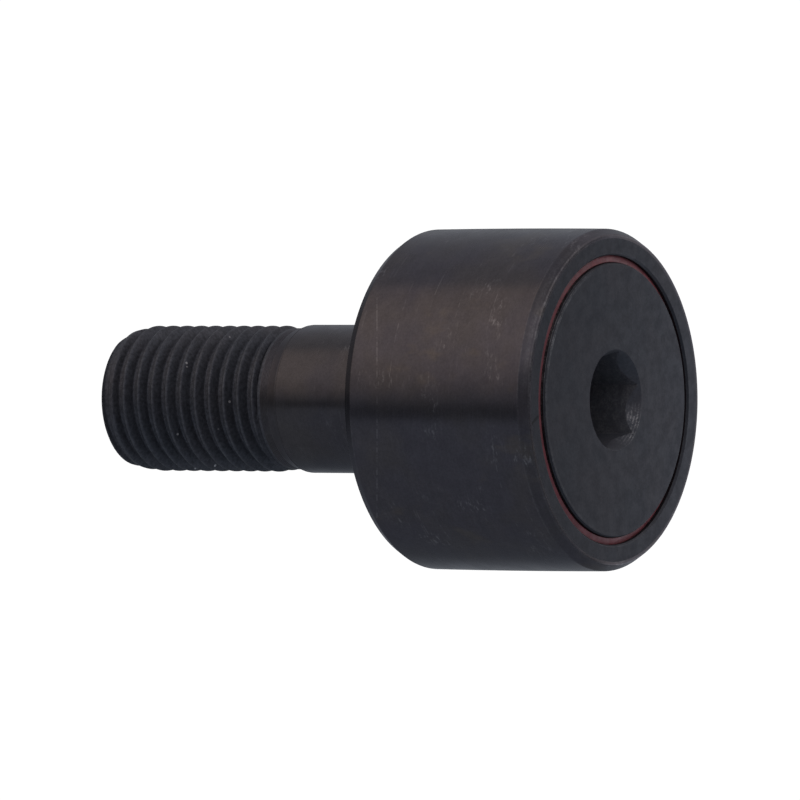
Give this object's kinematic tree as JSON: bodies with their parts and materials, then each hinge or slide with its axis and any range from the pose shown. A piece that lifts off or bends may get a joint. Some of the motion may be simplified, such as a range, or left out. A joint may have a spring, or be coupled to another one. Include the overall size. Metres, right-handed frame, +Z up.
{
  "type": "cam follower",
  "caption": "Stud-type needle-roller cam follower: a sealed crowned outer ring turns on a stud that has a hex-socket flange at one end and a fine thread at the other.",
  "frame": {"origin": "where the stud's axis crosses the mounting face, which is the back of the end plate", "axes": "+Y along the stud towards its threaded end, +Z up; the hex-socket flange faces -Y"},
  "size_m": [0.0254, 0.0422, 0.0254],
  "materials": {
    "black_oxide_steel": "ground and black oxided, lightly oiled",
    "bearing_steel": "ground",
    "seal_red": "matte moulded",
    "plug_steel": "plated"
  },
  "bodies": {
    "stud": {"stud": "black_oxide_steel", "end_plate": "black_oxide_steel", "oil_plug": "plug_steel"},
    "ring": {"outer_ring": "black_oxide_steel", "front_seal": "seal_red", "rear_seal": "seal_red"},
    "needles": {"needle_01": "bearing_steel", "needle_02": "bearing_steel", "needle_03": "bearing_steel", "needle_04": "bearing_steel", "needle_05": "bearing_steel", "needle_06": "bearing_steel", "needle_07": "bearing_steel", "needle_08": "bearing_steel", "needle_09": "bearing_steel", "needle_10": "bearing_steel", "needle_11": "bearing_steel", "needle_12": "bearing_steel", "needle_13": "bearing_steel", "needle_14": "bearing_steel", "needle_15": "bearing_steel", "needle_16": "bearing_steel", "needle_17": "bearing_steel", "needle_18": "bearing_steel", "needle_19": "bearing_steel", "needle_20": "bearing_steel"}
  },
  "joints": [
    {"name": "ring_spin", "type": "hinge", "parent": "stud", "child": "ring", "pos_m": [0, 0, 0], "axis": [0, 1, 0], "continuous": true},
    {"name": "needle_orbit", "type": "hinge", "parent": "stud", "child": "needles", "pos_m": [0, 0, 0], "axis": [0, 1, 0], "continuous": true}
  ],
  "couplings": [
    {"joint": "needle_orbit", "follows": "ring_spin", "ratio": 0.579}
  ]
}
